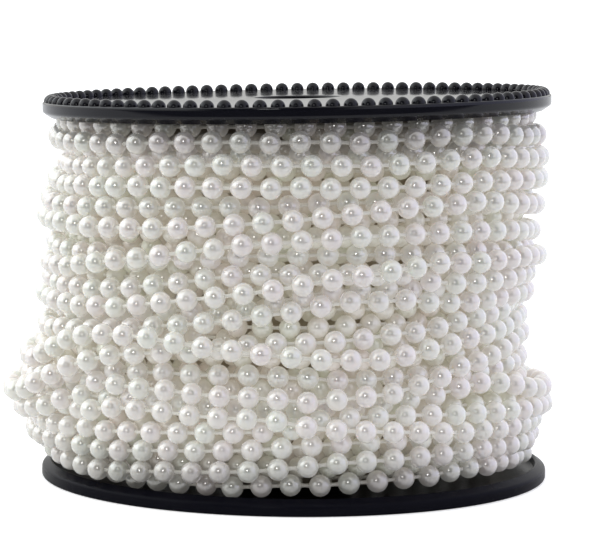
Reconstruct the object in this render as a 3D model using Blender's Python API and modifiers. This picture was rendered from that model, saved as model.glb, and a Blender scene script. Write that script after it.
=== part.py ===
"""Pearl bead string wound on a flanged plastic spool.

The spool stands on its plain flange. Units are metres and +Z is up. The origin lies on the
surface, under the middle of the whole object's box, and -Y is the front. The spool's own axis
stands a little to the right of it, because a slack loop of the string bulges out on the left.
The upper flange sits slightly askew, lower on the left, and the top of the winding follows it.
"""

import math
from collections import namedtuple

import bmesh
import bpy
from mathutils import Matrix

MM = 0.001

# The spool
AXIS_X = 3.1 * MM
FLANGE_R = 51.5 * MM
BORE_R = 8.7 * MM
SPOOL_H = 76.9 * MM
WEB_T = 1.6 * MM
RIM_H = 3.2 * MM
RIM_INNER_R = 49.2 * MM
HUB_WALL = 3.0 * MM
FLANGE_TILT = math.radians(1.4)
FLANGE_STEPS = 64
HUB_STEPS = 32

# The row of domes that stands on the rim of the upper flange
DOME_COUNT = 92
DOME_R = 1.4 * MM
DOME_STAND = 1.4 * MM
DOME_RING_R = 49.8 * MM
DOME_SEGMENTS = 8
DOME_RINGS = 6

# The wound string
BEAD_R = 2.0 * MM
RIDGE_HALF = 3.0 * MM
BED_R = 45.5 * MM
LEAN_FROM = 62.0 * MM
GAP = 0.3 * MM
WINDING_COLUMNS = 60
WINDING_ROWS = 58

# Angles round the axis at which a turn's height is given, 0 at the front and + to the right
STATIONS = (-80.0, -45.0, -15.0, 15.0, 45.0, 80.0)
BACK = 180.0

# One row for each turn of the string, from the top down: heights of its beads' centres at the
# six stations, then its radius on the left, at the front and back, and on the right, all in mm
Turn = namedtuple(
    "Turn",
    "left front_left mid_left mid_right front_right right r_left r_front r_right",
)
TURNS = (
    Turn(71.5, 72.2, 72.7, 73.1, 73.5, 73.8, 46.9, 46.9, 46.5),
    Turn(68.6, 69.1, 70.1, 70.4, 71.3, 70.0, 48.0, 49.4, 48.6),
    Turn(66.4, 66.9, 67.5, 67.9, 67.7, 67.4, 46.0, 46.6, 46.4),
    Turn(64.4, 64.9, 65.8, 66.0, 66.9, 65.8, 46.2, 49.8, 49.2),
    Turn(60.2, 60.7, 61.6, 61.8, 62.2, 61.4, 48.2, 49.8, 49.2),
    Turn(56.0, 56.7, 57.7, 58.5, 57.9, 57.4, 49.8, 47.0, 46.4),
    Turn(53.0, 52.9, 54.4, 57.3, 58.2, 56.4, 50.4, 49.8, 48.0),
    Turn(47.4, 46.9, 48.1, 48.9, 48.3, 47.2, 48.6, 47.0, 46.6),
    Turn(43.6, 46.5, 50.3, 52.6, 52.8, 51.0, 49.8, 50.0, 47.6),
    Turn(40.6, 41.1, 44.9, 45.1, 42.9, 42.0, 49.4, 48.4, 46.4),
    Turn(37.2, 37.7, 41.5, 45.5, 46.8, 45.4, 50.6, 50.2, 48.0),
    Turn(35.4, 35.7, 37.3, 42.5, 42.9, 41.4, 48.0, 47.8, 46.0),
    Turn(31.2, 33.7, 36.7, 40.9, 39.5, 38.8, 50.4, 48.8, 45.9),
    Turn(24.5, 32.9, 31.2, 29.4, 32.3, 34.4, 53.9, 50.6, 45.0),
    Turn(17.5, 28.3, 31.2, 33.3, 34.9, 36.4, 57.1, 48.6, 45.0),
    Turn(21.5, 24.1, 26.1, 25.3, 25.1, 25.0, 53.0, 47.4, 45.4),
    Turn(20.0, 23.5, 22.0, 22.2, 26.3, 30.0, 51.0, 50.0, 45.8),
    Turn(14.9, 20.3, 19.7, 19.5, 23.5, 19.0, 55.0, 46.6, 50.6),
    Turn(16.1, 19.1, 18.4, 16.0, 14.0, 12.8, 52.8, 50.2, 48.4),
    Turn(12.5, 14.1, 15.4, 17.9, 17.5, 16.2, 52.6, 49.4, 50.4),
    Turn(9.4, 9.7, 11.9, 13.3, 12.9, 12.0, 51.8, 49.4, 46.6),
    Turn(7.6, 6.5, 7.9, 11.0, 10.9, 9.2, 50.2, 50.0, 47.4),
    Turn(5.5, 5.3, 5.4, 5.8, 6.7, 6.4, 47.4, 48.4, 46.6),
)

COLOURS = {
    "black_plastic": ((0.012, 0.012, 0.018), 0.22),
    "pearl": ((0.78, 0.77, 0.72), 0.25),
}


def clear_scene():
    """Remove every object, so that the script always starts from nothing."""
    for obj in list(bpy.data.objects):
        bpy.data.objects.remove(obj, do_unlink=True)


def make_collection(name):
    """Return a new collection that is linked to the scene."""
    collection = bpy.data.collections.new(name)
    bpy.context.scene.collection.children.link(collection)
    return collection


def make_material(name):
    """Return the named plain material."""
    colour, roughness = COLOURS[name]
    material = bpy.data.materials.new(name)
    material.use_nodes = True
    shader = material.node_tree.nodes["Principled BSDF"]
    shader.inputs["Base Color"].default_value = (*colour, 1.0)
    shader.inputs["Roughness"].default_value = roughness
    shader.inputs["Metallic"].default_value = 0.0
    return material


def new_object(name, mesh, collection, material=None, height=0.0, tilt=0.0):
    """Put a mesh on the spool's axis, at a height and tilted up towards the right."""
    obj = bpy.data.objects.new(name, mesh)
    obj.location = (AXIS_X, 0.0, height)
    obj.rotation_euler = (0.0, -tilt, 0.0)
    collection.objects.link(obj)
    if material is not None:
        mesh.materials.append(material)
    return obj


def turned(name, profile, steps, collection, material, height=0.0, tilt=0.0):
    """Turn a closed profile of (radius, height) points, which runs down its outer side."""
    mesh = bpy.data.meshes.new(name)
    points = [(radius, 0.0, height) for radius, height in profile]
    edges = [(i, (i + 1) % len(points)) for i in range(len(points))]
    mesh.from_pydata(points, edges, [])
    obj = new_object(name, mesh, collection, material, height, tilt)
    screw = obj.modifiers.new("turn", "SCREW")
    screw.steps = steps
    screw.render_steps = steps
    screw.use_merge_vertices = True
    screw.merge_threshold = 0.00001
    screw.use_smooth_shade = True
    return obj


def flange_profile():
    """Return the section of one flange, from the bore's edge over the inner face, top to bottom.

    Heights count from the flange's outer face towards the winding. The thin web ends in a
    rounded rim that stands proud on the winding's side.
    """
    r_out = FLANGE_R
    return [
        (BORE_R, WEB_T),
        (RIM_INNER_R, WEB_T),
        (RIM_INNER_R + 0.1 * MM, RIM_H - 0.3 * MM),
        (RIM_INNER_R + 0.6 * MM, RIM_H),
        (r_out - 1.1 * MM, RIM_H - 0.2 * MM),
        (r_out - 0.5 * MM, RIM_H - 0.8 * MM),
        (r_out - 0.1 * MM, RIM_H - 1.6 * MM),
        (r_out, 0.6 * MM),
        (r_out - 0.15 * MM, 0.15 * MM),
        (r_out - 0.4 * MM, 0.0),
        (BORE_R, 0.0),
    ]


def build_bottom_flange(collection, material):
    """Build the plain flange that the spool stands on."""
    return turned("bottom_flange", flange_profile(), FLANGE_STEPS, collection, material)


def build_domes(cutters):
    """Build the balls whose upper halves become the domes of the upper rim."""
    mesh = bpy.data.meshes.new("rim_balls")
    balls = bmesh.new()
    height = DOME_STAND - DOME_R
    for index in range(DOME_COUNT):
        angle = 2.0 * math.pi * index / DOME_COUNT - math.pi / 2.0
        place = Matrix.Rotation(angle, 4, "Z") @ Matrix.Translation((DOME_RING_R, 0.0, height))
        bmesh.ops.create_uvsphere(
            balls, u_segments=DOME_SEGMENTS, v_segments=DOME_RINGS, radius=DOME_R, matrix=place
        )
    balls.to_mesh(mesh)
    balls.free()
    guide = new_object("rim_balls", mesh, cutters, None, SPOOL_H, FLANGE_TILT)
    guide.hide_render = True
    guide.display_type = "WIRE"
    return guide


def build_top_flange(collection, cutters, material):
    """Build the upper flange, the same moulding turned over and askew, with its row of domes."""
    profile = [(radius, -height) for radius, height in flange_profile()]
    profile.reverse()
    flange = turned(
        "top_flange", profile, FLANGE_STEPS, collection, material, SPOOL_H, FLANGE_TILT
    )
    union = flange.modifiers.new("domes", "BOOLEAN")
    union.operation = "UNION"
    union.solver = "EXACT"
    union.object = build_domes(cutters)
    return flange


def build_hub(collection, material):
    """Build the tube between the two flanges, which shows through the bore.

    Its top stays clear of the upper flange on the side where that one sits lower.
    """
    low = WEB_T + GAP
    high = SPOOL_H - WEB_T - 2.0 * GAP
    outer = BORE_R + HUB_WALL
    profile = [(BORE_R, high), (outer, high), (outer, low), (BORE_R, low)]
    return turned("hub_tube", profile, HUB_STEPS, collection, material)


def string_stations():
    """Return (angle, height, radius) along the whole string, its turns following one another.

    The angle grows by a full turn from one row of the table to the next. Behind the spool the
    string passes from the height of one turn's right to that of the next turn's left.
    """
    stations = []
    for index, turn in enumerate(TURNS):
        heights = turn[:6]
        side_left = 0.5 * (turn.r_left + turn.r_front)
        side_right = 0.5 * (turn.r_right + turn.r_front)
        radii = (turn.r_left, side_left, turn.r_front, turn.r_front, side_right, turn.r_right)
        for angle, height, radius in zip(STATIONS, heights, radii):
            stations.append((360.0 * index + angle, height * MM, radius * MM))
        following = TURNS[min(index + 1, len(TURNS) - 1)]
        middle = 0.5 * (turn.right + following.left)
        stations.append((360.0 * index + BACK, middle * MM, turn.r_front * MM))
    last = TURNS[-1]
    stations.append((360.0 * len(TURNS) + STATIONS[0], last.left * MM, last.r_left * MM))
    return stations


def slope(points, index, column):
    """Return the slope of a column at one of its points, taken across its neighbours."""
    before = points[max(index - 1, 0)]
    after = points[min(index + 1, len(points) - 1)]
    return (after[column] - before[column]) / (after[0] - before[0])


def along(points, angle):
    """Return the string's height and radius at an unrolled angle, on a smooth curve."""
    index = 0
    while index < len(points) - 2 and points[index + 1][0] <= angle:
        index += 1
    start, end = points[index], points[index + 1]
    span = end[0] - start[0]
    t = min(max((angle - start[0]) / span, 0.0), 1.0)
    values = []
    for column in (1, 2):
        m0 = slope(points, index, column) * span
        m1 = slope(points, index + 1, column) * span
        values.append(
            (2 * t**3 - 3 * t**2 + 1) * start[column]
            + (t**3 - 2 * t**2 + t) * m0
            + (-2 * t**3 + 3 * t**2) * end[column]
            + (t**3 - t**2) * m1
        )
    return values


def lean(x, height):
    """Return how much the askew flange lifts a point of the winding, at its own height."""
    share = (height - LEAN_FROM) / (SPOOL_H - WEB_T - GAP - LEAN_FROM)
    return max(share, 0.0) * x * math.tan(FLANGE_TILT)


def winding_radius(crossings, height, level):
    """Return how far the winding reaches at a height, over the turns that pass there.

    The level is the height that the point would have between two level flanges.
    """
    reach = BED_R
    for turn_height, turn_radius in crossings:
        off = abs(height - turn_height)
        if off < RIDGE_HALF:
            crest = turn_radius + BEAD_R
            drop = RIDGE_HALF * (1.0 - math.cos(0.5 * math.pi * off / RIDGE_HALF))
            reach = max(reach, crest - drop)
    lip = RIM_H + GAP
    if level < lip or level > SPOOL_H - lip:
        reach = min(reach, RIM_INNER_R - GAP)
    return reach


def build_winding(collection, material):
    """Build the wound string as one ring, with a ridge for each of its turns."""
    low = WEB_T + GAP
    high = SPOOL_H - WEB_T - GAP
    inner = BORE_R + HUB_WALL + GAP
    heights = [high + (low - high) * row / WINDING_ROWS for row in range(WINDING_ROWS + 1)]
    ring = bmesh.new()
    points = [(inner, high)] + [(BED_R, height) for height in heights] + [(inner, low)]
    verts = [ring.verts.new((0.0, -radius, height)) for radius, height in points]
    edges = [ring.edges.new((verts[i - 1], verts[i])) for i in range(len(verts))]
    bmesh.ops.spin(
        ring, geom=verts + edges, cent=(0.0, 0.0, 0.0), axis=(0.0, 0.0, 1.0),
        angle=2.0 * math.pi, steps=WINDING_COLUMNS, use_duplicate=False,
    )
    bmesh.ops.remove_doubles(ring, verts=ring.verts, dist=0.00001)

    stations = string_stations()
    columns = {}
    for vert in ring.verts:
        level = vert.co.z
        vert.co.z += lean(vert.co.x, level)
        if math.hypot(vert.co.x, vert.co.y) < 0.5 * (inner + BED_R):
            continue
        angle = math.degrees(math.atan2(vert.co.x, -vert.co.y))
        if angle < STATIONS[0]:
            angle += 360.0
        key = round(angle, 3)
        if key not in columns:
            columns[key] = [along(stations, 360.0 * turn + angle) for turn in range(len(TURNS))]
        reach = winding_radius(columns[key], vert.co.z, level)
        vert.co.x = reach * math.sin(math.radians(angle))
        vert.co.y = -reach * math.cos(math.radians(angle))
        vert.co.z = level + lean(vert.co.x, level)
    bmesh.ops.recalc_face_normals(ring, faces=ring.faces)
    mesh = bpy.data.meshes.new("winding")
    ring.to_mesh(mesh)
    ring.free()
    mesh.shade_smooth()
    mesh.set_sharp_from_angle(angle=math.radians(75.0))
    return new_object("winding", mesh, collection, material)


def main():
    """Build the four pieces."""
    clear_scene()
    parts = make_collection("pearl_bead_string_spool")
    cutters = make_collection("cutters")
    plastic = make_material("black_plastic")
    pearl = make_material("pearl")
    build_bottom_flange(parts, plastic)
    build_top_flange(parts, cutters, plastic)
    build_hub(parts, plastic)
    build_winding(parts, pearl)


main()
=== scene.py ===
"""The looks of a pearl bead string that is wound on a flanged plastic spool."""

import logging
import math
from dataclasses import dataclass, field
from enum import Enum
from typing import Dict, List, Optional, Sequence, Tuple

import bpy
import numpy as np
from mathutils import Matrix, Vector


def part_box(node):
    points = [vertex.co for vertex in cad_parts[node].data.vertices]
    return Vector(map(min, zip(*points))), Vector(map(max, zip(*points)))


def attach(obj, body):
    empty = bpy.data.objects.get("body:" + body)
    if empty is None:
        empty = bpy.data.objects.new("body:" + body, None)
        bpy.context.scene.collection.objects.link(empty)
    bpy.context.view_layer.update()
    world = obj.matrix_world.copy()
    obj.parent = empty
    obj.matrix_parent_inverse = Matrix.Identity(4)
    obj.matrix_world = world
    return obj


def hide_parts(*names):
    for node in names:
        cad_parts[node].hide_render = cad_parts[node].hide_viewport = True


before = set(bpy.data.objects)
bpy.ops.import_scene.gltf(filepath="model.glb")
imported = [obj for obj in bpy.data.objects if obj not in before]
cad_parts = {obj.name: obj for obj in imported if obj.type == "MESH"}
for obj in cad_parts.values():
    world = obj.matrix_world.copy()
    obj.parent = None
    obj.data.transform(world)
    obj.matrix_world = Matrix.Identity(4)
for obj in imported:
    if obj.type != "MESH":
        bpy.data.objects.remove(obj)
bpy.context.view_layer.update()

logging.basicConfig(level=logging.INFO, format="%(message)s")
LOG = logging.getLogger("pearl_string")

MM = 0.001
SEED = 20
Point = Tuple[float, float, float]
Colour = Tuple[float, float, float]
Profile = List[Tuple[float, float]]

# Degrees round the spool, from left to right, at which a turn's heights are given.
STATIONS = (-80.0, -45.0, -15.0, 15.0, 45.0, 80.0)
BACK = 180.0
# Edges of the plastic that turn by more than this stay sharp.
SHARP = math.radians(38.0)
# A direction that the string never runs along, from which the axes of beads and threads are made.
ODD_WAY = (0.13, 0.21, 0.97)


class Slot(Enum):
    """The material slots of the part."""

    PEARL = "pearl"
    PLASTIC = "black_plastic"


@dataclass(frozen=True)
class Turn:
    """One turn of the string: six heights from left to right and three radii, in mm."""

    left: float
    front_left: float
    mid_left: float
    mid_right: float
    front_right: float
    right: float
    r_left: float
    r_front: float
    r_right: float

    def heights(self) -> Tuple[float, ...]:
        """Return the heights at the six stations, in mm."""
        return (self.left, self.front_left, self.mid_left,
                self.mid_right, self.front_right, self.right)

    def radii(self) -> Tuple[float, ...]:
        """Return the radii at the six stations, in mm."""
        side_left = 0.5 * (self.r_left + self.r_front)
        side_right = 0.5 * (self.r_right + self.r_front)
        return (self.r_left, side_left, self.r_front, self.r_front, side_right, self.r_right)


TURNS = (
    Turn(71.5, 72.2, 72.7, 73.1, 73.5, 73.8, 46.9, 46.9, 46.5),
    Turn(68.6, 69.1, 70.1, 70.4, 71.3, 70.0, 48.0, 49.4, 48.6),
    Turn(66.4, 66.9, 67.5, 67.9, 67.7, 67.4, 46.0, 46.6, 46.4),
    Turn(64.4, 64.9, 65.8, 66.0, 66.9, 65.8, 46.2, 49.8, 49.2),
    Turn(60.2, 60.7, 61.6, 61.8, 62.2, 61.4, 48.2, 49.8, 49.2),
    Turn(56.0, 56.7, 57.7, 58.5, 57.9, 57.4, 49.8, 47.0, 46.4),
    Turn(53.0, 52.9, 54.4, 57.3, 58.2, 56.4, 50.4, 49.8, 48.0),
    Turn(47.4, 46.9, 48.1, 48.9, 48.3, 47.2, 48.6, 47.0, 46.6),
    Turn(43.6, 46.5, 50.3, 52.6, 52.8, 51.0, 49.8, 50.0, 47.6),
    Turn(40.6, 41.1, 44.9, 45.1, 42.9, 42.0, 49.4, 48.4, 46.4),
    Turn(37.2, 37.7, 41.5, 45.5, 46.8, 45.4, 50.6, 50.2, 48.0),
    Turn(35.4, 35.7, 37.3, 42.5, 42.9, 41.4, 48.0, 47.8, 46.0),
    Turn(31.2, 33.7, 36.7, 40.9, 39.5, 38.8, 50.4, 48.8, 45.9),
    Turn(24.5, 32.9, 31.2, 29.4, 32.3, 34.4, 53.9, 50.6, 45.0),
    Turn(17.5, 28.3, 31.2, 33.3, 34.9, 36.4, 57.1, 48.6, 45.0),
    Turn(21.5, 24.1, 26.1, 25.3, 25.1, 25.0, 53.0, 47.4, 45.4),
    Turn(20.0, 23.5, 22.0, 22.2, 26.3, 30.0, 51.0, 50.0, 45.8),
    Turn(14.9, 20.3, 19.7, 19.5, 23.5, 19.0, 55.0, 46.6, 50.6),
    Turn(16.1, 19.1, 18.4, 16.0, 14.0, 12.8, 52.8, 50.2, 48.4),
    Turn(12.5, 14.1, 15.4, 17.9, 17.5, 16.2, 52.6, 49.4, 50.4),
    Turn(9.4, 9.7, 11.9, 13.3, 12.9, 12.0, 51.8, 49.4, 46.6),
    Turn(7.6, 6.5, 7.9, 11.0, 10.9, 9.2, 50.2, 50.0, 47.4),
    Turn(5.5, 5.3, 5.4, 5.8, 6.7, 6.4, 47.4, 48.4, 46.6),
)


@dataclass(frozen=True)
class SpoolSizes:
    """The spool's sizes in metres and radians, read from the frame where it gives them."""

    axis_x: float
    flange_r: float
    height: float = 76.9 * MM
    bore_r: float = 8.7 * MM
    web: float = 1.6 * MM
    rim: float = 3.2 * MM
    rim_inner_r: float = 49.2 * MM
    hub_wall: float = 3.0 * MM
    tilt: float = math.radians(1.4)

    @classmethod
    def from_frame(cls) -> "SpoolSizes":
        """Return the sizes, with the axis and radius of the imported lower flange."""
        low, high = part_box("bottom_flange")
        return cls(axis_x=0.5 * (low.x + high.x), flange_r=0.5 * (high.y - low.y))

    def shift(self) -> np.ndarray:
        """Return the step from the spool's axis to its place in the scene."""
        return np.array([self.axis_x, 0.0, 0.0])

    def rise(self, x: np.ndarray) -> np.ndarray:
        """Return how far the askew upper flange lies above its middle.

        Args:
            x: Distances to the right of the spool's axis.

        Returns:
            The rise at each.
        """
        return x * math.tan(self.tilt)

    def on_flange(self, points: np.ndarray) -> np.ndarray:
        """Tilt points that are given about the middle of a level upper flange.

        Args:
            points: Points about the middle of the flange's outer face, one row each.

        Returns:
            The points in the scene.
        """
        c, s = math.cos(self.tilt), math.sin(self.tilt)
        turn = np.array([[c, 0.0, -s], [0.0, 1.0, 0.0], [s, 0.0, c]])
        return points @ turn.T + self.shift() + np.array([0.0, 0.0, self.height])


def mesh_object(name: str, verts: np.ndarray, faces: Sequence[Sequence[int]]) -> bpy.types.Object:
    """Make a smooth mesh object.

    Args:
        name: The object's name.
        verts: Its points, one row each, in metres.
        faces: The corners of each face.

    Returns:
        The new object, linked to the scene.
    """
    mesh = bpy.data.meshes.new(name)
    mesh.from_pydata(verts, [], faces)
    mesh.update()
    mesh.shade_smooth()
    obj = bpy.data.objects.new(name, mesh)
    bpy.context.scene.collection.objects.link(obj)
    return obj


def lathe(profile: Profile, steps: int) -> Tuple[np.ndarray, List[Tuple[int, ...]]]:
    """Turn a closed profile round the upright axis.

    Args:
        profile: Points of (radius, height) that run round the section, down its outer side.
        steps: How many segments the turn has.

    Returns:
        The turned ring's points and its faces.
    """
    section = np.array(profile)
    count = len(section)
    angles = 2.0 * math.pi * np.arange(steps) / steps
    x = np.outer(np.cos(angles), section[:, 0])
    y = np.outer(np.sin(angles), section[:, 0])
    z = np.tile(section[:, 1], (steps, 1))
    verts = np.stack([x, y, z], axis=-1).reshape(-1, 3)
    faces: List[Tuple[int, ...]] = []
    for step in range(steps):
        here = step * count
        there = ((step + 1) % steps) * count
        for i in range(count):
            j = (i + 1) % count
            faces.append((here + i, here + j, there + j, there + i))
    return verts, faces


def arc(centre: Tuple[float, float], radius: float, start: float, end: float, steps: int) -> Profile:
    """Return points on an arc of a profile.

    Args:
        centre: The arc's centre, as (radius, height).
        radius: The arc's own radius.
        start: The first angle in degrees, 0 outwards and 90 up.
        end: The last angle in degrees.
        steps: How many segments the arc has.

    Returns:
        The arc's points, both ends included.
    """
    angles = np.radians(np.linspace(start, end, steps + 1))
    return [(centre[0] + radius * math.cos(a), centre[1] + radius * math.sin(a)) for a in angles]


def unit_ball(segments: int, rings: int) -> Tuple[np.ndarray, List[Tuple[int, ...]]]:
    """Make a ball of radius 1 with its poles on the Z axis.

    Args:
        segments: Faces round the ball.
        rings: Faces from pole to pole.

    Returns:
        Its points and its faces.
    """
    verts = [(0.0, 0.0, 1.0)]
    for ring in range(1, rings):
        polar = math.pi * ring / rings
        for segment in range(segments):
            turn = 2.0 * math.pi * segment / segments
            verts.append((math.sin(polar) * math.cos(turn),
                          math.sin(polar) * math.sin(turn), math.cos(polar)))
    verts.append((0.0, 0.0, -1.0))
    last = len(verts) - 1
    faces: List[Tuple[int, ...]] = []
    for s in range(segments):
        t = (s + 1) % segments
        faces.append((0, 1 + s, 1 + t))
        for ring in range(rings - 2):
            upper = 1 + ring * segments
            lower = upper + segments
            faces.append((upper + s, lower + s, lower + t, upper + t))
        low = 1 + (rings - 2) * segments
        faces.append((last, low + t, low + s))
    return np.array(verts), faces


def unit_tube(sides: int, waist: float) -> Tuple[np.ndarray, List[Tuple[int, ...]]]:
    """Make a capped tube from z = 0 to 1 that is 1 in radius at its ends and thinner between.

    Args:
        sides: Faces round the tube.
        waist: Its radius at the middle.

    Returns:
        Its points and its faces.
    """
    levels = ((0.0, 1.0), (0.3, 0.5 * (1.0 + waist)), (0.5, waist),
              (0.7, 0.5 * (1.0 + waist)), (1.0, 1.0))
    verts = [(radius * math.cos(2.0 * math.pi * s / sides),
              radius * math.sin(2.0 * math.pi * s / sides), height)
             for height, radius in levels for s in range(sides)]
    faces: List[Tuple[int, ...]] = [tuple(reversed(range(sides)))]
    for level in range(len(levels) - 1):
        for s in range(sides):
            t = (s + 1) % sides
            low, high = level * sides, (level + 1) * sides
            faces.append((low + s, low + t, high + t, high + s))
    top = (len(levels) - 1) * sides
    faces.append(tuple(top + s for s in range(sides)))
    return np.array(verts), faces


def frames_along(directions: np.ndarray) -> np.ndarray:
    """Return a rotation for each direction that brings the Z axis onto it.

    Args:
        directions: Unit vectors, one row each.

    Returns:
        One 3 by 3 matrix for each row, with its axes as columns.
    """
    side = np.cross(np.tile(ODD_WAY, (len(directions), 1)), directions)
    side /= np.linalg.norm(side, axis=1, keepdims=True)
    other = np.cross(directions, side)
    return np.stack([side, other, directions], axis=-1)


def joined_copies(
    name: str,
    unit: Tuple[np.ndarray, List[Tuple[int, ...]]],
    places: np.ndarray,
    turns: np.ndarray,
    scales: np.ndarray,
) -> bpy.types.Object:
    """Make one mesh of many copies of a small form.

    Args:
        name: The object's name.
        unit: The form's points and faces.
        places: Where each copy goes.
        turns: Each copy's rotation matrix.
        scales: Each copy's size along its own three axes.

    Returns:
        The joined object, with a random value for each copy in the attribute "tone".
    """
    points, faces = unit
    moved = np.einsum("nij,nkj->nki", turns, points[None] * scales[:, None, :])
    verts = (moved + places[:, None, :]).reshape(-1, 3)
    all_faces = []
    for copy in range(len(places)):
        base = copy * len(points)
        all_faces.extend(tuple(base + corner for corner in face) for face in faces)
    obj = mesh_object(name, verts, all_faces)
    tones = np.random.default_rng(SEED + len(places)).random(len(places))
    tone = obj.data.attributes.new("tone", "FLOAT", "POINT")
    tone.data.foreach_set("value", np.repeat(tones, len(points)).astype(np.float32))
    return obj


class NodeTree:
    """A small helper that adds nodes to a tree and links them."""

    def __init__(self, tree: bpy.types.NodeTree) -> None:
        """Keep the tree."""
        self.tree = tree

    def add(self, kind: str, settings: Optional[Dict[str, object]] = None,
            **inputs: object) -> bpy.types.Node:
        """Add a node.

        Args:
            kind: The node's type.
            settings: Its own properties.
            **inputs: A value or an output for each named socket, with spaces as underscores.

        Returns:
            The new node.
        """
        node = self.tree.nodes.new(kind)
        for key, value in (settings or {}).items():
            setattr(node, key, value)
        self.feed(node, **inputs)
        return node

    def feed(self, node: bpy.types.Node, **inputs: object) -> None:
        """Feed named sockets of a node.

        Args:
            node: The node.
            **inputs: A value or an output for each named socket, with spaces as underscores.
        """
        for key, value in inputs.items():
            name = key.replace("_", " ")
            self.plug(next(s for s in node.inputs if s.name == name and s.enabled), value)

    def plug(self, socket: bpy.types.NodeSocket, value: object) -> None:
        """Link an output to a socket, or set the socket's own value.

        Args:
            socket: The socket.
            value: The output or the value.
        """
        if isinstance(value, bpy.types.NodeSocket):
            self.tree.links.new(value, socket)
        else:
            socket.default_value = value

    def mix(self, factor: object, first: object, second: object,
            blend: str = "MIX") -> bpy.types.NodeSocket:
        """Mix two colours.

        Args:
            factor: How much of the second colour is used.
            first: The first colour.
            second: The second colour.
            blend: The way of mixing.

        Returns:
            The mixed colour's output.
        """
        node = self.add("ShaderNodeMix", {"data_type": "RGBA", "blend_type": blend},
                        Factor=factor, A=first, B=second)
        return next(s for s in node.outputs if s.enabled)

    def math(self, operation: str, first: object, second: object = 0.0) -> bpy.types.NodeSocket:
        """Work out a sum on two values.

        Args:
            operation: The kind of sum.
            first: The first value or output.
            second: The second value or output.

        Returns:
            The sum's output.
        """
        node = self.add("ShaderNodeMath", {"operation": operation})
        self.plug(node.inputs[0], first)
        self.plug(node.inputs[1], second)
        return node.outputs[0]

    def spread(self, value: object, low: float, high: float) -> bpy.types.NodeSocket:
        """Map a value from 0 to 1 to a range.

        Args:
            value: The value's output.
            low: The result at 0.
            high: The result at 1.

        Returns:
            The mapped value's output.
        """
        return self.add("ShaderNodeMapRange", Value=value, To_Min=low,
                        To_Max=high).outputs["Result"]

    def ease(self, value: object, start: float, end: float, low: float = 0.0,
             high: float = 1.0) -> bpy.types.NodeSocket:
        """Map a value smoothly from one range to another.

        Args:
            value: The value's output.
            start: Where the change starts.
            end: Where it ends.
            low: The result up to the start.
            high: The result from the end on.

        Returns:
            The mapped value's output.
        """
        node = self.add("ShaderNodeMapRange", {"interpolation_type": "SMOOTHSTEP"}, Value=value,
                        From_Min=start, From_Max=end, To_Min=low, To_Max=high)
        return node.outputs["Result"]

    def group(self, tree: bpy.types.NodeTree, **inputs: object) -> bpy.types.Node:
        """Place a node group, with a value or an output for each named socket."""
        return self.add("ShaderNodeGroup", {"node_tree": tree}, **inputs)


def rgba(colour: Colour) -> Tuple[float, float, float, float]:
    """Return a colour with full alpha."""
    return (*colour, 1.0)


def grey(level: float) -> Tuple[float, float, float, float]:
    """Return a grey with full alpha."""
    return rgba((level, level, level))


class SharedGroup:
    """A node group that more than one finish uses, built once under its name."""

    NAME: str

    @classmethod
    def get(cls) -> bpy.types.NodeTree:
        """Return the group, built the first time it is asked for."""
        return bpy.data.node_groups.get(cls.NAME) or cls.build()

    @classmethod
    def build(cls) -> bpy.types.NodeTree:
        """Build the group, which each kind of group does in its own way."""
        raise NotImplementedError


class CloudGroup(SharedGroup):
    """Soft drifts of tone over a surface, with a fine grain for its bump."""

    NAME = "cloud and grain"

    @classmethod
    def build(cls) -> bpy.types.NodeTree:
        """Build the group.

        Returns:
            The group, with the inputs Cloud Scale and Grain Scale, and the outputs Cloud and
            Grain, both from 0 to 1.
        """
        tree = bpy.data.node_groups.new(cls.NAME, "ShaderNodeTree")
        for name, value in (("Cloud Scale", 150.0), ("Grain Scale", 2500.0)):
            socket = tree.interface.new_socket(name, in_out="INPUT", socket_type="NodeSocketFloat")
            socket.default_value = value
        for name in ("Cloud", "Grain"):
            tree.interface.new_socket(name, in_out="OUTPUT", socket_type="NodeSocketFloat")
        kit = NodeTree(tree)
        given = kit.add("NodeGroupInput")
        place = kit.add("ShaderNodeTexCoord").outputs["Object"]
        cloud = kit.add("ShaderNodeTexNoise", Vector=place,
                        Scale=given.outputs["Cloud Scale"], Detail=3.0, Roughness=0.55)
        grain = kit.add("ShaderNodeTexNoise", Vector=place,
                        Scale=given.outputs["Grain Scale"], Detail=2.0, Roughness=0.5)
        kit.add("NodeGroupOutput", Cloud=cloud.outputs["Fac"], Grain=grain.outputs["Fac"])
        return tree


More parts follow.
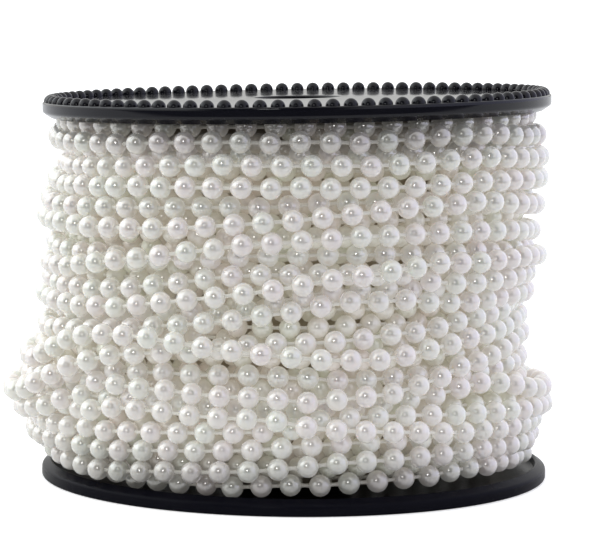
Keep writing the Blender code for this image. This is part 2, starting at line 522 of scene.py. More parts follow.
class ShelterGroup(SharedGroup):
    """The shade on a colour close to the two flanges, where little light reaches.

    UPPER and LOWER give the heights where the shade starts and is full, and SIDES how far from
    the middle it thins out, to the share ASIDE.
    """

    NAME = "shelter of the flanges"
    UPPER = (0.0640, 0.0750)
    LOWER = (0.0150, 0.0015)
    SIDES = (0.0260, 0.0460)
    ASIDE = 0.4
    DIM = (0.22, 0.21, 0.20)

    @classmethod
    def build(cls) -> bpy.types.NodeTree:
        """Build the group.

        Returns:
            The group, with the inputs Colour and Amount and the output Colour.
        """
        tree = bpy.data.node_groups.new(cls.NAME, "ShaderNodeTree")
        tree.interface.new_socket("Colour", in_out="INPUT", socket_type="NodeSocketColor")
        amount = tree.interface.new_socket("Amount", in_out="INPUT", socket_type="NodeSocketFloat")
        amount.default_value = 1.0
        tree.interface.new_socket("Colour", in_out="OUTPUT", socket_type="NodeSocketColor")
        kit = NodeTree(tree)
        given = kit.add("NodeGroupInput")
        place = kit.add("ShaderNodeTexCoord").outputs["Object"]
        parts = kit.add("ShaderNodeSeparateXYZ", Vector=place).outputs
        upper, lower = kit.ease(parts["Z"], *cls.UPPER), kit.ease(parts["Z"], *cls.LOWER)
        sides = kit.ease(kit.math("ABSOLUTE", parts["X"]), *cls.SIDES)
        share = kit.math("MULTIPLY", kit.math("MAXIMUM", upper, lower), given.outputs["Amount"])
        share = kit.math("MULTIPLY", share, kit.spread(sides, 1.0, cls.ASIDE))
        colour = given.outputs["Colour"]
        dimmed = kit.mix(1.0, colour, rgba(cls.DIM), "MULTIPLY")
        kit.add("NodeGroupOutput", Colour=kit.mix(share, colour, dimmed))
        return tree


class Finish:
    """What every finish shares: a named material with a Principled shader."""

    def start(self, name: str) -> Tuple[bpy.types.Material, NodeTree, bpy.types.Node]:
        """Make the empty material.

        Args:
            name: The material's name.

        Returns:
            The material, its node helper and its Principled shader.
        """
        material = bpy.data.materials.new(name)
        material.use_nodes = True
        kit = NodeTree(material.node_tree)
        return material, kit, material.node_tree.nodes["Principled BSDF"]


@dataclass(frozen=True)
class PearlFinish(Finish):
    """A coated pearl bead: off-white, each a little different, with a painted sheen at its edge.

    A bead's tint runs from mint over cream to rose. The glow is painted light that stands for light
    passing from bead to bead inside the winding, at middle in a bead's middle and at rim at its
    edge, and shelter is the share of the flanges' painted shade that its colour takes.
    """

    name: str
    cream: Colour = (0.80, 0.775, 0.72)
    rose: Colour = (0.805, 0.75, 0.725)
    mint: Colour = (0.775, 0.788, 0.712)
    edge: Colour = (0.79, 0.79, 0.79)
    lustre: float = 0.20
    depth: float = 1.8 * MM
    clear: float = 0.65
    roughness: float = 0.20
    coat_roughness: float = 0.08
    coat_ior: float = 1.9
    glow: float = 0.09
    rim: float = 3.8
    middle: float = 0.8
    shelter: float = 0.80
    sheen: float = 0.5
    drift: float = 0.22
    uneven: float = 0.05

    def material(self) -> bpy.types.Material:
        """Return the material."""
        material, kit, shader = self.start(self.name)
        tone = kit.add("ShaderNodeAttribute", {"attribute_name": "tone"}).outputs["Fac"]
        group = kit.group(CloudGroup.get(), Cloud_Scale=420.0, Grain_Scale=3500.0)
        cloud = group.outputs["Cloud"]
        ramp = kit.add("ShaderNodeValToRGB", Fac=tone)
        stops = ramp.color_ramp.elements
        stops[0].color = rgba(self.mint)
        stops[1].color = rgba(self.rose)
        stops.new(0.5).color = rgba(self.cream)
        clouded = kit.mix(kit.spread(cloud, 0.0, self.drift), ramp.outputs["Color"],
                          rgba(self.rose))
        facing = kit.add("ShaderNodeLayerWeight", Blend=0.35).outputs["Facing"]
        colour = kit.mix(kit.math("MULTIPLY", facing, self.sheen), clouded, rgba(self.edge))
        colour = kit.group(ShelterGroup.get(), Colour=colour,
                           Amount=self.shelter).outputs["Colour"]
        bump = kit.add("ShaderNodeBump", Strength=0.10, Distance=0.04 * MM,
                       Height=group.outputs["Grain"])
        rough = kit.spread(cloud, self.roughness - self.uneven, self.roughness + self.uneven)
        halo = kit.mix(facing, grey(self.middle), grey(self.rim))
        kit.feed(shader, Base_Color=colour, Normal=bump.outputs["Normal"], Roughness=rough,
                 Emission_Color=kit.mix(1.0, colour, halo, "MULTIPLY"),
                 Emission_Strength=self.glow, Metallic=self.lustre,
                 Subsurface_Weight=self.clear, Subsurface_Radius=(1.0, 0.9, 0.75),
                 Subsurface_Scale=self.depth, Coat_Weight=1.0,
                 Coat_Roughness=self.coat_roughness, Coat_IOR=self.coat_ior)
        return material


@dataclass(frozen=True)
class ThreadFinish(Finish):
    """The white thread between the beads, with a painted glow and the flanges' painted shade."""

    name: str = "white_thread"
    colour: Colour = (0.90, 0.88, 0.81)
    shade: Colour = (0.84, 0.80, 0.70)
    glow: float = 0.07
    shelter: float = 0.85
    roughness: float = 0.38
    drift: float = 0.8

    def material(self) -> bpy.types.Material:
        """Return the material."""
        material, kit, shader = self.start(self.name)
        group = kit.group(CloudGroup.get(), Cloud_Scale=700.0, Grain_Scale=6000.0)
        colour = kit.mix(kit.spread(group.outputs["Cloud"], 0.0, self.drift),
                         rgba(self.colour), rgba(self.shade))
        colour = kit.group(ShelterGroup.get(), Colour=colour,
                           Amount=self.shelter).outputs["Colour"]
        bump = kit.add("ShaderNodeBump", Strength=0.3, Distance=0.05 * MM,
                       Height=group.outputs["Grain"])
        kit.feed(shader, Base_Color=colour, Emission_Color=colour, Emission_Strength=self.glow,
                 Roughness=self.roughness, Normal=bump.outputs["Normal"])
        return material


@dataclass(frozen=True)
class PlasticFinish(Finish):
    """Black moulded plastic, smoother or more satin, with faint handling marks."""

    name: str
    roughness: float
    marks: float
    colour: Colour = (0.0035, 0.0035, 0.0070)
    scuffed: Colour = (0.0090, 0.0090, 0.0130)
    specular: float = 0.34

    def material(self) -> bpy.types.Material:
        """Return the material."""
        material, kit, shader = self.start(self.name)
        group = kit.group(CloudGroup.get(), Cloud_Scale=90.0, Grain_Scale=1800.0)
        cloud = group.outputs["Cloud"]
        colour = kit.mix(kit.spread(cloud, 0.0, 1.0), rgba(self.colour), rgba(self.scuffed))
        rough = kit.spread(cloud, self.roughness - self.marks, self.roughness + self.marks)
        bump = kit.add("ShaderNodeBump", Strength=0.10, Distance=0.03 * MM,
                       Height=group.outputs["Grain"])
        kit.feed(shader, Base_Color=colour, Roughness=rough, Normal=bump.outputs["Normal"],
                 Specular_IOR_Level=self.specular)
        return material


@dataclass(frozen=True)
class CoreFinish(Finish):
    """The inner layers of the winding, seen only through gaps between beads, in painted shade.

    Light cell middles and dark cell edges stand for shaded beads and the dark gaps between them,
    with a painted glow and the flanges' painted shade.
    """

    name: str = "inner_layers"
    light: Colour = (0.55, 0.49, 0.39)
    dark: Colour = (0.27, 0.225, 0.155)
    glow: float = 0.05
    roughness: float = 0.55
    cells: float = 230.0
    contrast: float = 1.4

    def material(self) -> bpy.types.Material:
        """Return the material."""
        material, kit, shader = self.start(self.name)
        place = kit.add("ShaderNodeTexCoord").outputs["Object"]
        cells = kit.add("ShaderNodeTexVoronoi", Vector=place, Scale=self.cells)
        shade = kit.math("MULTIPLY", cells.outputs["Distance"], self.contrast)
        colour = kit.mix(kit.spread(shade, 0.0, 1.0), rgba(self.light), rgba(self.dark))
        colour = kit.group(ShelterGroup.get(), Colour=colour).outputs["Colour"]
        kit.feed(shader, Base_Color=colour, Emission_Color=colour, Emission_Strength=self.glow,
                 Roughness=self.roughness)
        return material


@dataclass(frozen=True)
class FloorFinish(Finish):
    """The pale floor, which the camera sees brighter than the object does."""

    name: str = "pale_floor"
    seen: Colour = (0.84, 0.84, 0.84)
    near: Colour = (0.86, 0.86, 0.86)
    far: Colour = (0.10, 0.10, 0.11)
    glow: float = 0.60
    reach: Tuple[float, float] = (0.14, 0.30)

    def material(self) -> bpy.types.Material:
        """Return the material, which lights the object like a short sheet of white paper."""
        material, kit, shader = self.start(self.name)
        camera = kit.add("ShaderNodeLightPath").outputs["Is Camera Ray"]
        place = kit.add("ShaderNodeTexCoord").outputs["Object"]
        parts = kit.add("ShaderNodeSeparateXYZ", Vector=place)
        front = kit.ease(kit.math("MULTIPLY", parts.outputs["Y"], -1.0), *self.reach)
        paper = kit.mix(front, rgba(self.near), rgba(self.far))
        kit.feed(shader, Base_Color=kit.mix(camera, paper, rgba(self.seen)),
                 Emission_Color=kit.mix(camera, grey(0.0), grey(self.glow)),
                 Emission_Strength=1.0, Roughness=0.9, Specular_IOR_Level=0.0)
        return material


def dress(obj: bpy.types.Object, material: bpy.types.Material, slot: Slot,
          *nodes: str) -> bpy.types.Object:
    """Give a piece its material and body, and hide the solids that it stands for.

    Args:
        obj: The piece.
        material: Its material.
        slot: One of the part's material slots; not used.
        *nodes: The solids that it stands for.

    Returns:
        The piece.
    """
    obj.data.materials.append(material)
    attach(obj, "root")
    if nodes:
        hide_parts(*nodes)
    LOG.info("%s: %d faces", obj.name, len(obj.data.polygons))
    return obj


@dataclass
class Flange:
    """One flange of the spool, with a thin web and a rounded rim."""

    sizes: SpoolSizes
    face: bpy.types.Material
    steps: int = 160
    chamfer: float = 0.3 * MM
    corner: float = 0.6 * MM
    fillet: float = 0.15 * MM
    crown: float = 0.9 * MM
    crown_drop: float = 1.6 * MM
    skirt: float = 0.7 * MM
    edge: float = 0.4 * MM

    def profile(self) -> Profile:
        """Return the section, its heights counted from the outer face towards the winding."""
        s = self.sizes
        inner_r, corner = s.rim_inner_r, self.corner
        return [
            (s.bore_r + self.chamfer, s.web),
            (inner_r - corner, s.web),
            (inner_r - self.fillet, s.web + self.fillet),
            (inner_r, s.web + corner),
            *arc((inner_r + corner, s.rim - corner), corner, 180.0, 90.0, 5),
            *arc((s.flange_r - self.crown, s.rim - self.crown_drop), self.crown, 62.0, 5.0, 6),
            (s.flange_r, self.skirt),
            *arc((s.flange_r - self.edge, self.edge), self.edge, 0.0, -90.0, 4),
            (s.bore_r + self.chamfer, 0.0),
            (s.bore_r, self.chamfer),
            (s.bore_r, s.web - self.chamfer),
        ]

    def piece(self, name: str, verts: np.ndarray, faces: Sequence[Sequence[int]],
              node: str) -> bpy.types.Object:
        """Make one flange's mesh, with its sharp edges kept, and dress it.

        Args:
            name: The piece's name.
            verts: Its points in the scene.
            faces: Its faces.
            node: The solid that it stands for.

        Returns:
            The piece.
        """
        obj = mesh_object(name, verts, faces)
        obj.data.set_sharp_from_angle(angle=SHARP)
        return dress(obj, self.face, Slot.PLASTIC, node)

    def build_lower(self) -> bpy.types.Object:
        """Build the flange that the spool stands on."""
        verts, faces = lathe(self.profile(), self.steps)
        return self.piece("lower_flange", verts + self.sizes.shift(), faces, "bottom_flange")

    def build_upper(self) -> bpy.types.Object:
        """Build the upper flange, turned over and askew."""
        profile = [(radius, -height) for radius, height in reversed(self.profile())]
        verts, faces = lathe(profile, self.steps)
        return self.piece("upper_flange", self.sizes.on_flange(verts), faces, "top_flange")


@dataclass
class DomeRow:
    """The row of small domes along the rim of the upper flange."""

    sizes: SpoolSizes
    material: bpy.types.Material
    count: int = 92
    ring_r: float = 49.8 * MM
    radius: float = 1.4 * MM
    ball: Tuple[int, int] = (20, 12)

    def build(self) -> bpy.types.Object:
        """Build the domes as balls sunk to their middles in the flange."""
        angles = 2.0 * math.pi * np.arange(self.count) / self.count - 0.5 * math.pi
        ring = np.stack([self.ring_r * np.cos(angles), self.ring_r * np.sin(angles),
                         np.zeros(self.count)], axis=-1)
        turns = np.tile(np.eye(3), (self.count, 1, 1))
        scales = np.full((self.count, 3), self.radius)
        places = self.sizes.on_flange(ring)
        obj = joined_copies("rim_domes", unit_ball(*self.ball), places, turns, scales)
        return dress(obj, self.material, Slot.PLASTIC)


@dataclass
class Hub:
    """The tube between the flanges."""

    sizes: SpoolSizes
    material: bpy.types.Material
    steps: int = 64
    foot_gap: float = 0.1 * MM
    head_gap: float = 0.3 * MM

    def build(self) -> bpy.types.Object:
        """Build the tube, from one web to the other."""
        s = self.sizes
        low, high = s.web + self.foot_gap, s.height - s.web - self.head_gap
        profile = [(s.bore_r, high), (s.bore_r + s.hub_wall, high),
                   (s.bore_r + s.hub_wall, low), (s.bore_r, low)]
        verts, faces = lathe(profile, self.steps)
        obj = mesh_object("hub", verts + s.shift(), faces)
        obj.data.set_sharp_from_angle(angle=SHARP)
        return dress(obj, self.material, Slot.PLASTIC, "hub_tube")


@dataclass
class StringPath:
    """The smooth route of the whole string, from the top of the winding to the bottom."""

    turns: Sequence[Turn]
    wander: float = 0.12 * MM
    fine: float = 0.5
    table: np.ndarray = field(init=False)
    slopes: np.ndarray = field(init=False)

    def __post_init__(self) -> None:
        """Work out the stations and the slopes between them."""
        rows = []
        for index, turn in enumerate(self.turns):
            for angle, height, radius in zip(STATIONS, turn.heights(), turn.radii()):
                rows.append((360.0 * index + angle, height * MM, radius * MM))
            following = self.turns[min(index + 1, len(self.turns) - 1)]
            middle = 0.5 * (turn.right + following.left) * MM
            rows.append((360.0 * index + BACK, middle, turn.r_front * MM))
        last = self.turns[-1]
        rows.append((360.0 * len(self.turns) + STATIONS[0], last.left * MM, last.r_left * MM))
        self.table = np.array(rows)
        before = np.maximum(np.arange(len(rows)) - 1, 0)
        after = np.minimum(np.arange(len(rows)) + 1, len(rows) - 1)
        rise = self.table[after, 1:] - self.table[before, 1:]
        self.slopes = rise / (self.table[after, :1] - self.table[before, :1])

    def at(self, angles: np.ndarray) -> Tuple[np.ndarray, np.ndarray]:
        """Return heights and radii along the string.

        Args:
            angles: Unrolled angles in degrees.

        Returns:
            The heights and the radii.
        """
        knots = self.table[:, 0]
        index = np.clip(np.searchsorted(knots, angles, side="right") - 1, 0, len(knots) - 2)
        span = (knots[index + 1] - knots[index])[:, None]
        t = np.clip((angles - knots[index])[:, None] / span, 0.0, 1.0)
        value = ((2 * t**3 - 3 * t**2 + 1) * self.table[index, 1:]
                 + (t**3 - 2 * t**2 + t) * self.slopes[index] * span
                 + (-2 * t**3 + 3 * t**2) * self.table[index + 1, 1:]
                 + (t**3 - t**2) * self.slopes[index + 1] * span)
        return value[:, 0], value[:, 1]

    def points(self, pitch: float, generator: np.random.Generator) -> np.ndarray:
        """Return the bead centres, a pitch apart along the string, about the spool's axis.

        Args:
            pitch: The distance between beads.
            generator: The source of small uneven offsets.

        Returns:
            The centres, one row each.
        """
        angles = np.arange(self.table[0, 0], self.table[-1, 0], self.fine)
        heights, radii = self.at(angles)
        route = around(angles, radii, heights)
        steps = np.linalg.norm(np.diff(route, axis=0), axis=1)
        length = np.concatenate([[0.0], np.cumsum(steps)])
        wanted = np.arange(0.0, length[-1], pitch)
        found = np.interp(wanted, length, angles)
        heights, radii = self.at(found)
        heights = heights + generator.normal(0.0, self.wander, len(found))
        radii = radii + generator.normal(0.0, self.wander, len(found))
        return around(found, radii, heights)


def around(angles: np.ndarray, radii: np.ndarray, heights: np.ndarray) -> np.ndarray:
    """Return points about the spool's axis.

    Args:
        angles: Degrees round the axis, 0 at the front and + to the right.
        radii: Distances from the axis.
        heights: Heights above the surface.

    Returns:
        The points, one row each.
    """
    turn = np.radians(angles)
    return np.stack([radii * np.sin(turn), -radii * np.cos(turn), heights], axis=-1)


@dataclass(frozen=True)
class Filling:
    """One of the even layers that lie under the outer turns.

    It has its depth below them and its least radius, its number of turns, the angle in degrees
    at which it starts, the segments and rings of its beads, and the faces round its thread.
    """

    name: str
    depth: float
    least_r: float
    turns: int
    phase: float
    ball: Tuple[int, int]
    sides: int = 5


@dataclass(frozen=True)
class Settling:
    """How beads come to rest.

    It has the number of rounds, and the shares of the way home and of the error in the distance
    to the neighbours on the thread that a bead makes good in each.
    """

    rounds: int
    home: float
    draw: float


@dataclass
class BeadString:
    """The pearl beads and the thread that joins them.

    Beads are set so that their centres come no nearer than touching, each round of settling
    takes them push of the way there, and an inner bead that ends nearer than least of it is
    left out.
    """

    sizes: SpoolSizes
    pearl: bpy.types.Material
    deep_pearl: bpy.types.Material
    thread: bpy.types.Material
    core: bpy.types.Material
    bead_r: float = 2.14 * MM
    bead_length: float = 0.98
    uneven: float = 0.008
    ball: Tuple[int, int] = (18, 10)
    sides: int = 8
    touching: float = 4.10 * MM
    least: float = 0.85
    push: float = 0.7
    pitch: float = 5.6 * MM
    thread_r: float = 0.44 * MM
    waist: float = 0.78
    sunk: float = 0.35 * MM
    shares: int = 3
    clearance: float = 0.1 * MM
    loose_r: float = 48.3 * MM
    stiff: float = 0.45
    lean_from: float = 62.0 * MM
    lean_over: float = 11.0 * MM
    core_depth: float = 7.6 * MM
    core_r: float = 39.6 * MM
    core_ends: Tuple[float, float] = (4.0 * MM, 3.8 * MM)
    outer_settling: Settling = Settling(rounds=70, home=0.03, draw=0.25)
    inner_settling: Settling = Settling(rounds=36, home=0.05, draw=0.15)
    fillings: Tuple[Filling, ...] = (
        Filling("second", 2.8 * MM, 44.2 * MM, 20, 0.0, (13, 8)),
        Filling("third", 5.8 * MM, 41.2 * MM, 17, 75.0, (10, 6)),
    )

    @staticmethod
    def envelope(points: np.ndarray, outer: np.ndarray) -> np.ndarray:
        """Return the mean radius of the outer turns round each point.

        Args:
            points: Rows of (angle in degrees, height).
            outer: The outer beads' centres about the axis.

        Returns:
            One radius for each point.
        """
        sideways, upwards = 7.0, 3.2 * MM
        angle = np.degrees(np.arctan2(outer[:, 0], -outer[:, 1]))
        radius = np.hypot(outer[:, 0], outer[:, 1])
        turn = (points[:, :1] - angle[None] + 180.0) % 360.0 - 180.0
        rise = points[:, 1:] - outer[None, :, 2]
        weight = np.exp(-(turn / sideways) ** 2 - (rise / upwards) ** 2) + 1e-9
        return (weight * radius).sum(axis=1) / weight.sum(axis=1)

    def filling(self, layer: Filling, outer: np.ndarray,
                generator: np.random.Generator) -> np.ndarray:
        """Return the bead centres of one layer under the outer turns.

        Args:
            layer: The layer's numbers.
            outer: The outer beads' centres about the axis.
            generator: The source of small uneven offsets.

        Returns:
            The centres, one row each.
        """
        low, high = 5.8 * MM, self.sizes.height - 5.2 * MM
        usual_r, wander = layer.least_r + 1.5 * MM, 0.12 * MM
        steps = int(layer.turns * 2.0 * math.pi * usual_r / self.pitch)
        share = np.linspace(0.0, 1.0, steps)
        angles = layer.phase + 360.0 * layer.turns * share
        heights = high + (low - high) * share + generator.normal(0.0, wander, steps)
        mean_r = self.envelope(np.stack([angles, heights], axis=-1), outer)
        radii = np.maximum(mean_r - layer.depth, layer.least_r)
        places = around(angles, radii, heights)
        places[:, 2] += self.lean(places)
        return places

    def lean(self, places: np.ndarray) -> np.ndarray:
        """Return how far the askew flange lifts the layers under it, at each place."""
        share = np.clip((places[:, 2] - self.lean_from) / self.lean_over, 0.0, 1.0)
        return share * self.sizes.rise(places[:, 0])

    def settle(self, home: np.ndarray, ease: np.ndarray, how: Settling,
               fixed: np.ndarray) -> np.ndarray:
        """Move beads apart that would overlap, keeping them near home and on their thread.

        Args:
            home: Where the beads start.
            ease: How readily each bead moves.
            how: The numbers of the settling.
            fixed: The centres of beads that push and stay.

        Returns:
            The centres at rest.
        """
        place = home.copy()
        for _ in range(how.rounds):
            place += how.home * (home - place)
            self.draw_together(place, how.draw)
            self.part(place, ease, fixed, np.zeros(len(fixed)))
            self.part(place, ease, place, ease)
            self.keep_between(place)
        return place

    def draw_together(self, place: np.ndarray, share: float) -> None:
        """Bring neighbours along the thread back towards one pitch apart.

        Args:
            place: The centres, which are changed where they stand.
            share: How much of the error each bead makes good.
        """
        link = place[1:] - place[:-1]
        span = np.linalg.norm(link, axis=1, keepdims=True)
        pull = share * (span - self.pitch) / span * link
        place[:-1] += pull
        place[1:] -= pull

    def part(self, place: np.ndarray, ease: np.ndarray, others: np.ndarray,
             other_ease: np.ndarray) -> None:
        """Push beads out of the beads that they overlap.

        Args:
            place: The centres, which are changed where they stand.
            ease: How readily each bead moves.
            others: The centres of the beads that push.
            other_ease: How readily each of those moves, 0 for never.
        """
        gap = place[:, None, :].astype(np.float32) - others[None, :, :].astype(np.float32)
        square = np.einsum("ijk,ijk->ij", gap, gap)
        first, second = np.nonzero((square < self.touching**2) & (square > 1e-12))
        away = gap[first, second]
        distance = np.sqrt(square[first, second])
        share = ease[first] / (ease[first] + other_ease[second])
        move = away * (share * (self.touching - distance) / distance)[:, None]
        np.add.at(place, first, self.push * move)

    def keep_between(self, place: np.ndarray) -> None:
        """Hold beads between the flanges' webs and clear of their rims.

        Args:
            place: The centres, which are changed where they stand.
        """
        s = self.sizes
        low = s.web + self.bead_r + self.clearance
        place[:, 2] = np.clip(place[:, 2], low, s.height - low + s.rise(place[:, 0]))
        bulb_r = 0.5 * s.rim
        middle = s.rim_inner_r + bulb_r
        for level, slant in ((bulb_r, 0.0), (s.height - bulb_r, 1.0)):
            radius = np.hypot(place[:, 0], place[:, 1])
            out = radius - middle
            up = place[:, 2] - level - slant * s.rise(place[:, 0])
            distance = np.maximum(np.hypot(out, up), 1e-6)
            lack = np.maximum(self.bead_r + bulb_r - distance, 0.0)
            place[:, 2] += lack * up / distance
            scale = 1.0 + lack * out / distance / radius
            place[:, 0] *= scale
            place[:, 1] *= scale

    @staticmethod
    def directions(places: np.ndarray) -> np.ndarray:
        """Return the string's direction at each bead."""
        ahead = np.vstack([places[1:], 2.0 * places[-1:] - places[-2:-1]])
        behind = np.vstack([2.0 * places[:1] - places[1:2], places[:-1]])
        along = ahead - behind
        return along / np.linalg.norm(along, axis=1, keepdims=True)

    def beads(self, name: str, places: np.ndarray, along: np.ndarray, ball: Tuple[int, int],
              material: bpy.types.Material, generator: np.random.Generator) -> bpy.types.Object:
        """Build beads as one mesh.

        Args:
            name: The piece's name.
            places: Their centres about the axis.
            along: The string's direction at each.
            ball: Each bead's segments and rings.
            material: Their finish.
            generator: The source of small differences in size.

        Returns:
            The piece.
        """
        radii = self.bead_r * (1.0 + generator.normal(0.0, self.uneven, len(places)))
        scales = np.stack([radii, radii, self.bead_length * radii], axis=-1)
        obj = joined_copies(name, unit_ball(*ball), places + self.sizes.shift(),
                            frames_along(along), scales)
        return dress(obj, material, Slot.PEARL, "winding")

    def threads(self, name: str, places: np.ndarray, kept: np.ndarray,
                sides: int) -> bpy.types.Object:
        """Build the lengths of thread between neighbouring beads as one mesh.

        Args:
            name: The piece's name.
            places: The bead centres about the axis, in order along the string.
            kept: Which beads are built.
            sides: Faces round the thread.

        Returns:
            The piece.
        """
        joined = kept[1:] & kept[:-1]
        gap = (places[1:] - places[:-1])[joined]
        span = np.linalg.norm(gap, axis=1)
        along = gap / span[:, None]
        inside = self.bead_r - self.sunk
        starts = places[:-1][joined] + along * inside + self.sizes.shift()
        radii = np.full(len(span), self.thread_r)
        scales = np.stack([radii, radii, span - 2.0 * inside], axis=-1)
        obj = joined_copies(name, unit_tube(sides, self.waist), starts, frames_along(along),
                            scales)
        return dress(obj, self.thread, Slot.PEARL, "winding")

    def build_core(self, outer: np.ndarray) -> bpy.types.Object:
        """Build the ring of innermost layers, which closes the view between the beads.

        Args:
            outer: The outer beads' centres about the axis.

        Returns:
            The piece.
        """
        s = self.sizes
        steps, levels = 96, 30
        low, high = self.core_ends[0], s.height - self.core_ends[1]
        inner = s.bore_r + s.hub_wall + self.clearance
        heights = np.linspace(high, low, levels)
        profile = [(inner, high), *[(self.core_r, height) for height in heights], (inner, low)]
        verts, faces = lathe(profile, steps)
        angles = np.degrees(np.arctan2(verts[:, 0], -verts[:, 1]))
        mean_r = self.envelope(np.stack([angles, verts[:, 2]], axis=-1), outer)
        now = np.hypot(verts[:, 0], verts[:, 1])
        ring_r = np.maximum(mean_r - self.core_depth, self.core_r)
        wanted = np.where(now > 2.0 * inner, ring_r, now)
        verts[:, :2] *= (wanted / now)[:, None]
        verts[:, 2] += self.lean(verts)
        obj = mesh_object("inner_layers", verts + s.shift(), faces)
        return dress(obj, self.core, Slot.PEARL, "winding")

    def build_outer(self, generator: np.random.Generator) -> np.ndarray:
        """Build the outer turns.

        Args:
            generator: The source of small uneven offsets.

        Returns:
            The outer beads' centres about the axis.
        """
        home = StringPath(TURNS).points(self.pitch, generator)
        loose = np.hypot(home[:, 0], home[:, 1]) < self.loose_r
        ease = np.where(loose, 1.0, self.stiff)
        outer = self.settle(home, ease, self.outer_settling, np.zeros((0, 3)))
        along = self.directions(outer)
        for share, rows in enumerate(np.array_split(np.arange(len(outer)), self.shares)):
            self.beads(f"outer_beads_{share + 1}", outer[rows], along[rows], self.ball,
                       self.pearl, generator)
        self.threads("outer_thread", outer, np.ones(len(outer), bool), self.sides)
        return outer

    def build_filling(self, layer: Filling, outer: np.ndarray, fixed: np.ndarray,
                      generator: np.random.Generator) -> np.ndarray:
        """Build one layer, at rest in the hollows behind the layers outside it.

        Args:
            layer: The layer's numbers.
            outer: The outer beads' centres about the axis.
            fixed: The centres of all the beads outside the layer.
            generator: The source of small uneven offsets.

        Returns:
            The centres of all the beads outside the next layer.
        """
        home = self.filling(layer, outer, generator)
        places = self.settle(home, np.ones(len(home)), self.inner_settling, fixed)
        near = np.linalg.norm(places[:, None] - fixed[None], axis=2).min(axis=1)
        kept = near > self.least * self.touching
        self.beads(f"{layer.name}_layer_beads", places[kept], self.directions(places)[kept],
                   layer.ball, self.deep_pearl, generator)
        self.threads(f"{layer.name}_layer_thread", places, kept, layer.sides)
        LOG.info("%s layer: %d of %d beads", layer.name, kept.sum(), len(kept))
        return np.vstack([fixed, places[kept]])

    def build(self) -> None:
        """Build the whole string."""
        generator = np.random.default_rng(SEED)
        outer = self.build_outer(generator)
        fixed = outer
        for layer in self.fillings:
            fixed = self.build_filling(layer, outer, fixed, generator)
        self.build_core(outer)


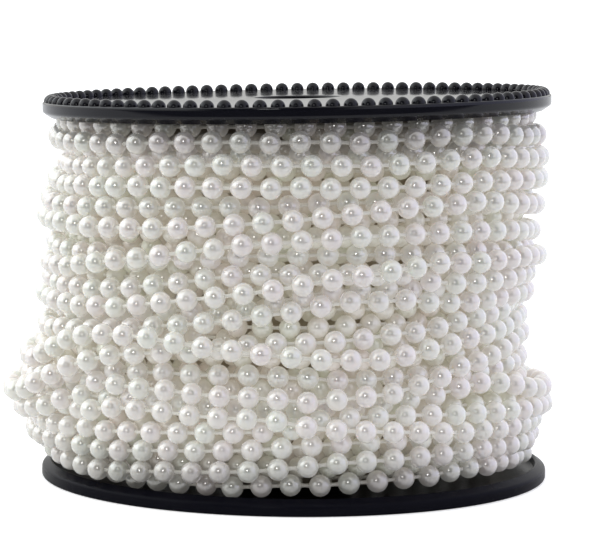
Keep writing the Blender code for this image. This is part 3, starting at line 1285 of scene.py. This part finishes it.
@dataclass
class Studio:
    """The pale floor, the soft light and the camera.

    The white surround is dark only in the direction dark_way, behind the camera, brighter on
    the left above the horizon, bluer on the right, and a little grey low down straight behind
    the object.
    """

    sizes: SpoolSizes
    distance: float = 0.575
    camera_z: float = 0.0972
    pitch: float = 5.59
    roll: float = 0.5
    lens: float = 169.8
    sensor: float = 36.0
    aside: float = 0.00095
    floor_half: float = 400.0
    floor_gap: float = 0.0001
    lamp_place: Point = (-0.14, -0.66, 0.27)
    lamp_size: float = 0.105
    lamp_power: float = 0.42
    dark_way: Point = (-0.17, -0.94, 0.30)
    dark_edge: Tuple[float, float] = (0.72, 0.90)
    dark_level: float = 0.05
    plain: Colour = (1.0, 1.0, 0.985)
    left: Colour = (2.36, 2.50, 2.56)
    left_rise: Tuple[float, float] = (0.15, 0.40)
    right: Colour = (0.86, 0.88, 1.16)
    side_from: float = 0.25
    low_level: float = 0.60
    low_rise: Tuple[float, float] = (0.03, 0.22)
    low_behind: Tuple[float, float] = (0.90, 0.97)

    def build_camera(self) -> None:
        """Build the camera at the photo's place."""
        data = bpy.data.cameras.new("camera")
        data.lens = self.lens
        data.sensor_width = self.sensor
        camera = bpy.data.objects.new("camera", data)
        camera.location = (self.sizes.axis_x + self.aside, -self.distance, self.camera_z)
        aim = Matrix.Rotation(math.radians(90.0 - self.pitch), 4, "X")
        camera.rotation_euler = (aim @ Matrix.Rotation(math.radians(self.roll), 4, "Z")).to_euler()
        bpy.context.scene.collection.objects.link(camera)
        bpy.context.scene.camera = camera

    def build_floor(self) -> None:
        """Build the floor."""
        half = self.floor_half
        verts = np.array([(-half, -half, 0.0), (half, -half, 0.0),
                          (half, half, 0.0), (-half, half, 0.0)])
        floor = mesh_object("floor", verts, [(0, 1, 2, 3)])
        floor.location.z = -self.floor_gap
        floor.data.materials.append(FloorFinish().material())

    def build_lamp(self) -> None:
        """Build the lamp that faces the winding and shows on it as a gleam alone."""
        data = bpy.data.lights.new("front_lamp", "AREA")
        data.shape = "SQUARE"
        data.size = self.lamp_size
        data.energy = self.lamp_power
        lamp = bpy.data.objects.new("front_lamp", data)
        lamp.visible_diffuse = False
        lamp.location = self.lamp_place
        target = self.sizes.shift() + np.array([0.0, 0.0, 0.5 * self.sizes.height])
        aim = target - np.array(self.lamp_place)
        flat = math.hypot(aim[0], aim[1])
        lamp.rotation_euler = (math.atan2(flat, -aim[2]), 0.0, math.atan2(-aim[0], aim[1]))
        bpy.context.scene.collection.objects.link(lamp)

    def build_surround(self) -> None:
        """Build the white surround."""
        world = bpy.data.worlds.new("studio")
        world.use_nodes = True
        kit = NodeTree(world.node_tree)
        way = kit.add("ShaderNodeTexCoord").outputs["Generated"]
        parts = kit.add("ShaderNodeSeparateXYZ", Vector=way).outputs
        aim = kit.add("ShaderNodeVectorMath", {"operation": "DOT_PRODUCT"})
        kit.plug(aim.inputs[0], way)
        kit.plug(aim.inputs[1], self.dark_way)
        dim = kit.ease(aim.outputs["Value"], *self.dark_edge, 1.0, self.dark_level)
        light = rgba(self.plain)
        raised = kit.ease(parts["Z"], *self.left_rise)
        for sign, share, colour in ((-1.0, raised, self.left), (1.0, 1.0, self.right)):
            side = kit.add("ShaderNodeMapRange", Value=parts["X"], From_Min=sign * self.side_from,
                           From_Max=sign).outputs["Result"]
            light = kit.mix(kit.math("MULTIPLY", side, share), light, rgba(colour))
        low = kit.ease(parts["Z"], *self.low_rise, self.low_level, 1.0)
        behind = kit.ease(parts["Y"], *self.low_behind)
        light = kit.mix(1.0, light, kit.mix(behind, grey(1.0), low), "MULTIPLY")
        kit.feed(world.node_tree.nodes["Background"], Color=kit.mix(dim, grey(0.0), light),
                 Strength=1.0)
        bpy.context.scene.world = world

    def build(self) -> None:
        """Build everything that isn't part of the object."""
        self.build_camera()
        self.build_floor()
        self.build_lamp()
        self.build_surround()
        bpy.context.scene.view_settings.view_transform = "Standard"


def main() -> None:
    """Build the spool, the string and the studio."""
    sizes = SpoolSizes.from_frame()
    studio = Studio(sizes)
    studio.build()
    satin = PlasticFinish("satin_black", roughness=0.24, marks=0.05, specular=0.035).material()
    gloss = PlasticFinish("gloss_black", roughness=0.08, marks=0.03, specular=0.30).material()
    Flange(sizes, satin).build_lower()
    Flange(sizes, gloss).build_upper()
    DomeRow(sizes, gloss).build()
    Hub(sizes, satin).build()
    # A warmer, brighter copy of the pearl finish for the inner layers: painted light for the light
    # between the beads deep in the winding, with its own painted glow and the flanges' full painted
    # shade.
    deep = PearlFinish("pearl_coat_deep", cream=(0.89, 0.85, 0.75), rose=(0.90, 0.82, 0.74),
                       mint=(0.85, 0.87, 0.73), edge=(0.86, 0.83, 0.76), lustre=0.12, clear=0.0,
                       glow=0.085, rim=1.6, shelter=1.0)
    string = BeadString(sizes, PearlFinish("pearl_coat").material(), deep.material(),
                        ThreadFinish().material(), CoreFinish().material())
    string.build()


if __name__ == "__main__":
    main()
